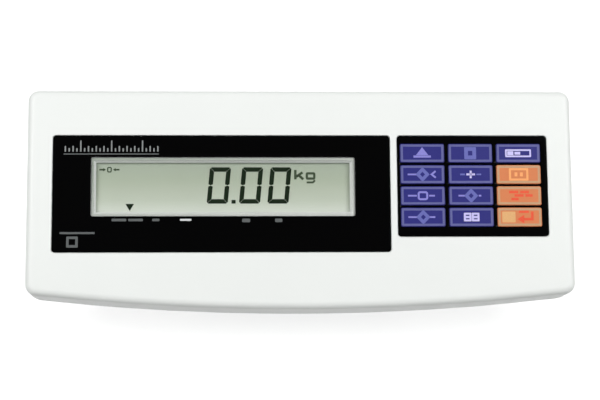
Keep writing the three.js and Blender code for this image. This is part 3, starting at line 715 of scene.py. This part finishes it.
def zero_mark():
    """A small ring between two inward arrows."""
    build = Build()
    y = ZERO_Y
    ring_mark = around(ZERO_X, y, 1.3, 1.6, 0.9)
    build.band(ring_mark(), ring_mark(0.7), *MARK_LEVELS)
    for side in (-1, 1):
        x = ZERO_X + side * 1.9
        build.prism([(x, y), (x + side * 1.5, y + 0.95), (x + side * 1.5, y - 0.95)], *MARK_LEVELS)
        build.prism(stroke([(x + side * 1.4, y), (x + side * 3.6, y)], 0.9), *MARK_LEVELS)
    return build.finish("lcd_zero_mark", INK_MUTED, "head", slot="lcd_green")


def caption_pointer():
    build = Build()
    build.prism([(-96.3, -2.4), (-91.6, -2.4), (-93.95, -6.3)], *MARK_LEVELS)
    return build.finish("lcd_pointer", INK_DARK, "head", slot="lcd_green")


def bars(name, finish, boxes):
    """Small flat printed bars on the display panel, each (left, right, bottom, top)."""
    build = Build()
    for left, right, bottom, top in boxes:
        corner = min(right - left, top - bottom) * 0.3
        build.prism(rectangle(left, right, bottom, top, corner, 3)(), -PRINT, PRINT)
    return build.finish(name, finish, "head", slot="panel_black")


RULE_LEFT, RULE_BASE = -129.4, 25.9
TICKS, TICK_PITCH, TICK_WIDTH = 25, 2.1, 0.75


def display_marks():
    """Generic marks in place of lettering: a graduated rule, captions, a line and an open square."""
    ticks = []
    for i in range(TICKS):
        x = RULE_LEFT + TICK_PITCH * i
        tall = 6.2 if i % 8 == 4 else (3.2 if i % 2 == 0 else 2.0)
        ticks.append((x, x + TICK_WIDTH, RULE_BASE, RULE_BASE + tall))
    bars("rule_ticks", INK_SILVER, ticks)
    bars("rule_line", INK_GREY, [(-130, -78, 24.3, 24.9)])
    low, high = -12.6, -11.2
    bars("captions_dim", INK_GREY, [
        (-103.5, -95.5, low, high), (-94.5, -86.5, low, high), (-81.5, -77.5, low, high),
        (-32.6, -28.2, low - 0.6, high), (-14.6, -10.6, low - 0.6, high),
    ])
    bars("caption_bright", INK_WHITE, [(-66.4, -60.2, -12.4, -11.3)])
    bars("corner_line", INK_GREY, [(-131.5, -112.5, -19.6, -18.5)])
    build = Build()
    square = rectangle(-127.9, -121.6, -27.0, -20.9, 0.5, 3)
    build.band(square(), square(1.4), -PRINT, PRINT)
    build.finish("corner_square", INK_GREY, "head", slot="panel_black")


# ------------------------------------------------------------------ keypad

KEY_ROWS, KEY_COLUMNS = 4, 3
KEY_FLANGE = 0.5
KEY_CORNER = 0.9
RIM_WIDTH = 1.2
RIM_INSET = 0.4
CAP_EDGE = 0.35
CROWN_INSET = 1.6
FLANGE_TOP, FLANGE_BASE = -1.35, -2.3
STEM_HALF = 2


def key_spans():
    return {(row, column): Span(f"key_{row}_{column}")
            for row in range(1, KEY_ROWS + 1) for column in range(1, KEY_COLUMNS + 1)}


def cap_outline(span, grow=0.0):
    edge = KEY_FLANGE - grow
    return rectangle(
        span.left + edge, span.right - edge, span.bottom + edge, span.top - edge, KEY_CORNER + grow)


def keypad_overlay(spans):
    build = Build()
    holes = [cap_outline(span, 0.25) for span in spans.values()]
    build.plate(span_outline(KEYPAD, PANEL_CORNER), KEYPAD.back, 0, 0.1, holes, 2)
    return build.finish("keypad_overlay", PANEL_BLACK, "head", replaces=["keypad_panel"])


def key_cap(row, column, span, finish):
    """Cap with a soft edge, retaining flange below the panel, and the stem that works the switch."""
    build = Build()
    name = f"key_{row}_{column}"
    cap = build.levels(cap_outline(span), [(FLANGE_TOP, 0), *edge_round(span.front, CAP_EDGE, 4)])
    crown = build.loop(cap_outline(span)(CROWN_INSET), span.front)
    build.strip(cap[-1], crown)
    build.fill(crown)
    flange = build.levels(cap_outline(span, KEY_FLANGE), [(FLANGE_TOP, 0), (FLANGE_BASE, 0)])
    build.strip(cap[0], flange[0])
    post = around(span.x, span.y, STEM_HALF, STEM_HALF, 0.3, 3)
    stem = build.levels(post, [(FLANGE_BASE, 0), (span.back, 0)])
    build.fill(flange[1], stem[0])
    build.fill(stem[1])
    return build.finish(f"{name}_cap", finish, name, replaces=[name])


class Legend:
    """Printed marks on one key, drawn about the key's middle."""

    def __init__(self, row, column, span):
        self.key = f"key_{row}_{column}"
        self.span = span
        self.build = Build()
        self.level = (span.front - PRINT, span.front + PRINT)

    def shape(self, points):
        self.build.prism([(self.span.x + x, self.span.y + y) for x, y in points], *self.level)

    def line(self, points, width=0.8):
        self.shape(stroke(points, width))

    def bar(self, start, end, y=0.0, width=0.95):
        self.line([(start, y), (end, y)], width)

    def ring(self, outline, width):
        outer = [(self.span.x + x, self.span.y + y) for x, y in outline()]
        inner = [(self.span.x + x, self.span.y + y) for x, y in outline(width)]
        self.build.band(outer, inner, *self.level)

    def print(self, part, finish, slot):
        return self.build.finish(f"{self.key}_{part}", finish, self.key, slot=slot)


def diamond(half_x, half_y):
    def outline(inset=0.0):
        scale = 1 - inset / (half_x * half_y / math.hypot(half_x, half_y))
        return [(half_x * scale, 0), (0, half_y * scale), (-half_x * scale, 0), (0, -half_y * scale)]
    return outline


def draw_balance(legend):
    legend.shape([(0, 3.3), (-3.4, -1.1), (3.4, -1.1)])
    legend.bar(-4.8, 4.8, -1.9, 1.2)


def draw_frame(legend):
    legend.ring(around(0, 0, 3.3, 3.4, 0.5), 2.1)


def draw_meter(legend):
    legend.ring(around(0, 0, 7.2, 2.2, 0.5), 0.9)
    legend.shape(rectangle(-6.0, -2.6, -1.1, 1.1, 0.2)())
    legend.shape(rectangle(-2.0, 1.2, -0.8, 0.8, 0.2)())


def draw_diamond(legend):
    legend.ring(diamond(3.9, 4.1), 1.8)


def draw_bars_in(legend):
    legend.bar(-8.2, -3.4)
    legend.bar(3.4, 6.6)


def draw_pointing_in(legend):
    legend.bar(-8.2, -3.4)
    legend.line([(7.2, 1.8), (5.0, 0.0), (7.2, -1.8)], 1.0)


def draw_plus(legend):
    legend.bar(-2.4, 2.4, 0, 1.1)
    legend.line([(0, -2.1), (0, 2.1)], 1.1)


def draw_wide_rule(legend):
    legend.bar(-5.8, -3.2, 0, 0.9)
    legend.bar(3.2, 5.8, 0, 0.9)


def draw_ring(legend):
    legend.ring(around(0, 0, 2.9, 2.5, 1.5), 1.1)
    draw_bars_in(legend)


def draw_bar_before(legend):
    legend.bar(-7.0, -3.4)
    legend.bar(4.2, 5.6)


def draw_panes(legend):
    for x in (-2.2, 2.2):
        legend.ring(around(x, 0, 2.1, 2.4, 0.4), 1.1)
        legend.bar(x - 1.3, x + 1.3, 0, 1.2)


def draw_sheet(legend):
    legend.ring(around(0, 0, 5.4, 3.5, 0.5), 1.2)
    for x in (-1.5, 1.5):
        legend.shape(around(x, 0, 0.8, 1.1, 0.2)())


def draw_dashes(legend):
    upper = [(-5.6, -0.6, 2.0), (0.6, 5.4, 2.0)]
    lower = [(-2.6, 2.4, 0.1), (3.4, 7.4, 0.1), (-4.4, -0.4, -1.9)]
    for start, end, y in upper + lower:
        legend.bar(start, end, y, 1.4)


def draw_return(legend):
    legend.line([(6.9, 3.0), (6.9, -1.2), (2.2, -1.2)], 1.4)
    legend.shape([(-1.4, -1.2), (2.4, 1.2), (2.4, -3.6)])
    legend.bar(-0.4, 5.0, 2.9, 1.3)


def draw_patch(legend):
    legend.shape(rectangle(-9.7, -2.4, -3.0, 3.0, 0.3)())


LEGENDS = {
    (1, 1): [(draw_balance, INK_LAVENDER)], (1, 2): [(draw_frame, INK_DIM)], (1, 3): [(draw_meter, INK_PALE)],
    (2, 1): [(draw_diamond, INK_DIM), (draw_pointing_in, INK_LAVENDER)],
    (2, 2): [(draw_plus, INK_PALE), (draw_wide_rule, INK_DIM)], (2, 3): [(draw_sheet, INK_AMBER)],
    (3, 1): [(draw_ring, INK_LAVENDER)], (3, 2): [(draw_diamond, INK_DIM), (draw_bar_before, INK_LAVENDER)],
    (3, 3): [(draw_dashes, INK_RED)],
    (4, 1): [(draw_diamond, INK_DIM), (draw_bars_in, INK_LAVENDER)], (4, 2): [(draw_panes, INK_PALE)],
    (4, 3): [(draw_patch, INK_YELLOW), (draw_return, INK_RED)],
}


def keypad():
    spans = key_spans()
    keypad_overlay(spans)
    for (row, column), span in spans.items():
        orange = column == KEY_COLUMNS and row > 1
        slot = "key_orange" if orange else "key_blue"
        key_cap(row, column, span, FINISHES[slot])
        rim = Legend(row, column, span)
        half_x = (span.right - span.left) / 2 - KEY_FLANGE
        half_y = (span.top - span.bottom) / 2 - KEY_FLANGE
        rim.ring(around(0, 0, half_x - RIM_INSET, half_y - RIM_INSET, 0.6), RIM_WIDTH)
        rim.print("rim", INK_SAND if orange else INK_RIM, slot)
        for number, (draw, colour) in enumerate(LEGENDS[row, column], 1):
            legend = Legend(row, column, span)
            draw(legend)
            legend.print(f"legend_{number}", colour, slot)


# ------------------------------------------------------------------ rear

REAR_WALL = -40
RATING_PLATE = rectangle(12, 62, 42.5, 56.5, 1.5)
LINES_LEFT = 16
CONTACT_PITCH, CONTACT_RADIUS = 2.77, 0.55
CELL_INSERT_RADIUS, PIN_CIRCLE, PIN_RADIUS, CELL_PINS = 5.9, 3.6, 0.5, 5


def rear_marks():
    """A blank rating plate, and the line and ring beside the rocker switch."""
    build = Build()
    build.plate(RATING_PLATE, REAR_WALL, REAR_WALL - 0.15, 0.05)
    build.finish("rating_plate", LABEL_FOIL, "head", slot="steel_bright")
    build = Build()
    for y, length in ((53.2, 26), (50.6, 38), (48.0, 32), (45.4, 20)):
        line = rectangle(LINES_LEFT, LINES_LEFT + length, y - 0.45, y + 0.45, 0.2, 3)
        build.prism(line(), REAR_WALL - 0.13, REAR_WALL - 0.2)
    build.finish("rating_plate_lines", INK_DARK, "head", slot="steel_bright")
    switch = Span("power_switch")
    level = (switch.back + PRINT, switch.back - PRINT)
    build = Build()
    build.prism(around(switch.x, switch.top - 1.4, 0.3, 0.8, 0.1, 2)(), *level)
    off_ring = circle(switch.x, switch.bottom + 1.4, 0.8, 24)
    build.band(off_ring(), off_ring(0.3), *level)
    build.finish("switch_marks", INK_WHITE, "head", slot="plastic_black")


def serial_sockets():
    """The nine-way insert of the serial port, with its contacts."""
    port = Span("serial_port")
    build = Build()
    insert = [(-6.9, -3.6), (6.9, -3.6), (7.8, 3.6), (-7.8, 3.6)]
    build.prism([(port.x + x, port.y + y) for x, y in insert], port.back + PRINT, port.back - 0.12)
    build.finish("serial_insert", BLACK_PLASTIC, "head")
    build = Build()
    for count, y in ((5, 1.4), (4, -1.4)):
        for i in range(count):
            spot = circle(port.x + (i - (count - 1) / 2) * CONTACT_PITCH, port.y + y, CONTACT_RADIUS, 16)
            build.prism(spot(), port.back - 0.1, port.back - 0.2)
    build.finish("serial_contacts", BRASS, "head")


def cell_contacts():
    """The insert and five pins inside the load cell socket."""
    socket = Span("load_cell_socket")
    centre = (socket.x, socket.y)
    floor_level = socket.back + 1
    build = Build()
    build.plate(circle(*centre, CELL_INSERT_RADIUS), floor_level + PRINT, floor_level - 0.35, 0.1)
    build.finish("cell_insert", BLACK_PLASTIC, "head")
    build = Build()
    for i in range(CELL_PINS):
        angle = math.radians(90 + 360 / CELL_PINS * i)
        x = centre[0] + PIN_CIRCLE * math.cos(angle)
        y = centre[1] + PIN_CIRCLE * math.sin(angle)
        build.plate(circle(x, y, PIN_RADIUS, 16), floor_level - 0.3, floor_level - 0.85, 0.2)
    build.finish("cell_pins", BRASS, "head")


# ------------------------------------------------------------------ everything else on the frame

def plain_nodes():
    """Nodes whose CAD shape stays, each with its own finish."""
    for part in frame["record"]["subparts"]:
        node = frame["nodes"][part["node"]]
        if node.hide_render:
            continue
        node.data.materials.clear()
        node.data.materials.append(FINISHES[part["material_slot"]])


front_cover()
display_overlay()
lens_tape()
display_window()
lcd_cell()
lcd_reading()
unit_sign()
zero_mark()
caption_pointer()
display_marks()
keypad()
refined("rear_cover", CASE, 0.35)
refined("battery_door", CASE, 0.08, 38, 1)
refined("tilt_bracket", BRACKET_PAINT, 0.35)
for side_name in ("left", "right"):
    refined(f"{side_name}_knob", BLACK_PLASTIC, 0.8, 55)
    refined(f"{side_name}_washer", STEEL, 0.2)
    refined(f"{side_name}_knob_stud", STEEL, 0.3)
    refined(f"{side_name}_friction_disc", RUBBER_BLACK, 0.1)
refined("base_pad", RUBBER_BLACK, 0.4)
refined("power_switch", BLACK_PLASTIC, 0.25)
refined("power_rocker", BLACK_PLASTIC, 0.5, 20)
refined("power_inlet", BLACK_PLASTIC, 0.25)
refined("serial_port", STEEL, 0.2)
refined("load_cell_socket", STEEL, 0.25)
for number in range(1, 7):
    refined(f"case_screw_{number}", STEEL, 0.3)
rear_marks()
serial_sockets()
cell_contacts()
plain_nodes()

# ------------------------------------------------------------------ floor, light and camera

FLOOR_HALF = 9
LIT_RADIUS, FADE_WIDTH = 0.7, 2.2


def floor():
    build = bmesh.new()
    bmesh.ops.create_grid(build, x_segments=8, y_segments=8, size=FLOOR_HALF)
    data = bpy.data.meshes.new("floor")
    build.to_mesh(data)
    build.free()
    made = bpy.data.objects.new("floor", data)
    bpy.context.scene.collection.objects.link(made)
    shader = Shader("floor", Specular_IOR_Level=0.1, Emission_Strength=1.0)
    shader.set("Base Color", shader.mix(shader.noise(0.4, 2), (0.66, 0.66, 0.66, 1), (0.68, 0.68, 0.68, 1)))
    radius = shader.node("VectorMath", {"operation": "LENGTH"}, {0: shader.place()})
    outwards = ((Wire(shader, radius.outputs["Value"]) - LIT_RADIUS) * (1 / FADE_WIDTH)).clamp()
    shader.set("Emission Color", shader.ramp(outwards, [(0, (0.72, 0.72, 0.72, 1)), (1, (0.9, 0.9, 0.9, 1))]))
    shader.set("Roughness", 0.9)
    data.materials.append(shader.material)
    made.visible_diffuse = False


def softbox(name, azimuth, elevation, distance, width, height, power):
    """A rectangular lamp that faces the head; azimuth 0 is in front of it."""
    target = FACE @ Vector((0, 0, 0))
    a, e = math.radians(azimuth), math.radians(elevation)
    direction = Vector((math.sin(a) * math.cos(e), -math.cos(a) * math.cos(e), math.sin(e)))
    data = bpy.data.lights.new(name, "AREA")
    data.shape = "RECTANGLE"
    data.size, data.size_y = width, height
    data.energy = power
    lamp = bpy.data.objects.new(name, data)
    bpy.context.scene.collection.objects.link(lamp)
    lamp.location = target + direction * distance
    lamp.rotation_euler = direction.to_track_quat("Z", "Y").to_euler()


HORIZON = 0.25
BELOW, ABOVE, SEEN = 0.4, 0.1, 0.93


def surroundings():
    """Dim above, brighter below, as the light thrown back by a pale table; pale where it is seen."""
    world = bpy.data.worlds.new("studio")
    bpy.context.scene.world = world
    world.use_nodes = True
    nodes, links = world.node_tree.nodes, world.node_tree.links
    where = nodes.new("ShaderNodeTexCoord")
    split = nodes.new("ShaderNodeSeparateXYZ")
    ramp = nodes.new("ShaderNodeMapRange")
    ramp.inputs["From Min"].default_value = -HORIZON
    ramp.inputs["From Max"].default_value = HORIZON
    ramp.inputs["To Min"].default_value = BELOW
    ramp.inputs["To Max"].default_value = ABOVE
    links.new(where.outputs["Generated"], split.inputs[0])
    links.new(split.outputs["Z"], ramp.inputs["Value"])
    seen = nodes.new("ShaderNodeLightPath")
    choose = nodes.new("ShaderNodeMix")
    choose.inputs["B"].default_value = SEEN
    links.new(seen.outputs["Is Camera Ray"], choose.inputs["Factor"])
    links.new(ramp.outputs[0], choose.inputs["A"])
    links.new(choose.outputs["Result"], nodes["Background"].inputs["Strength"])
    nodes["Background"].inputs["Color"].default_value = (1, 1, 1, 1)


BELOW_NORMAL = 9.1
LEFT_OF_NORMAL = 2.53
ROLL = -0.442
DISTANCE = 913.7
AIM = Vector((-0.9, -0.95, 0))
LENS_LENGTH = 100.2


def camera():
    below, left = math.radians(BELOW_NORMAL), math.radians(LEFT_OF_NORMAL)
    back = Vector((-math.sin(left) * math.cos(below), -math.sin(below), math.cos(left) * math.cos(below)))
    right = Vector((0, 1, 0)).cross(back).normalized()
    up = back.cross(right)
    roll = math.radians(ROLL)
    x_axis = right * math.cos(roll) + up * math.sin(roll)
    y_axis = up * math.cos(roll) - right * math.sin(roll)
    turn = Matrix((x_axis, y_axis, back)).transposed().to_4x4()
    data = bpy.data.cameras.new("camera")
    data.lens = LENS_LENGTH
    data.sensor_width = 36
    data.clip_start = 0.01
    made = bpy.data.objects.new("camera", data)
    bpy.context.scene.collection.objects.link(made)
    made.matrix_world = Matrix.Translation(FACE @ (AIM + back * DISTANCE)) @ TURN @ turn
    bpy.context.scene.camera = made


floor()
surroundings()
for side in (-1, 1):
    softbox("key_left" if side < 0 else "key_right", side * 64, 44, 1.3, 0.8, 0.8, 11)
softbox("fill_low", 0, 12, 1.6, 1.6, 0.4, 1.2)
softbox("back_light", 180, 4, 1.5, 1.4, 0.6, 5)
camera()
bpy.context.scene.view_settings.view_transform = "Standard"
